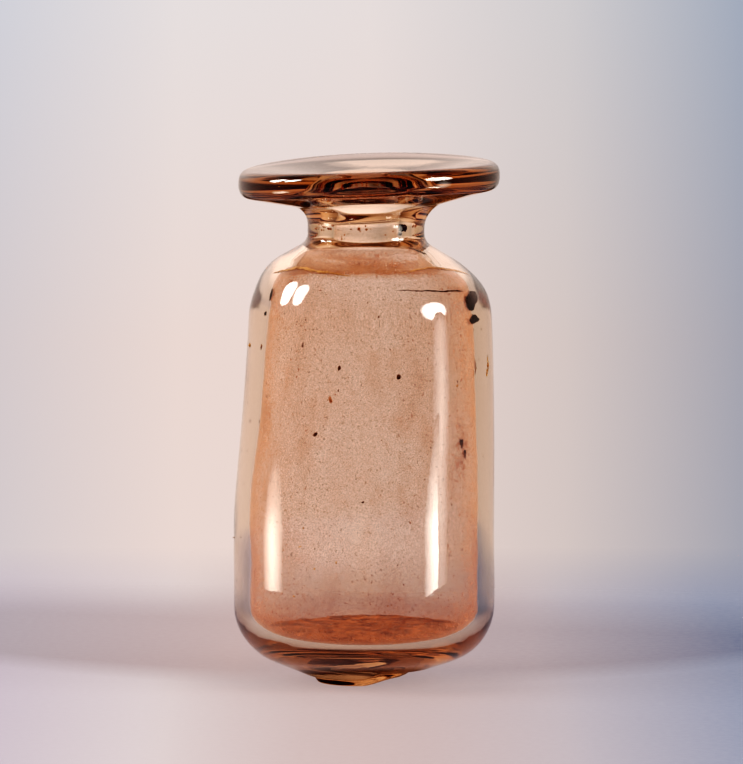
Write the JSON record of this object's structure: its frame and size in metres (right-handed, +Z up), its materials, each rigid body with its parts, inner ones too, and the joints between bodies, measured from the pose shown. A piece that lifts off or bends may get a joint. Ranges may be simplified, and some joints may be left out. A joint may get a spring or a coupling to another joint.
{
  "type": "hand-blown glass vial",
  "caption": "Thick-walled hand-blown glass vial with a wide flared lip, a waisted neck for a stopper, a rounded heel, a pontil scar and dried residue inside.",
  "frame": {"origin": "on the bottle's axis, on the plane that it stands on", "axes": "+Z up along the bottle's axis towards the lip, -Y towards the front"},
  "size_m": [0.036, 0.036, 0.0716],
  "materials": {
    "glass": "glossy, faintly warm hand-blown glass with seeds and drawn lines",
    "dried_film": "dry, speckled pinkish-tan film",
    "dried_crust": "rough, dry, reddish-brown crust",
    "dark_residue": "near-black, slightly glossy dried residue",
    "rust_dirt": "matte orange-brown dirt"
  },
  "bodies": {
    "root": {"bottle": "glass", "pontil_scar": "glass", "wall_film": "dried_film", "floor_crust": "dried_crust", "tide_ring": "dried_crust", "shoulder_clots": "dark_residue", "film_specks": "dark_residue", "outer_flecks": "rust_dirt"}
  },
  "joints": []
}
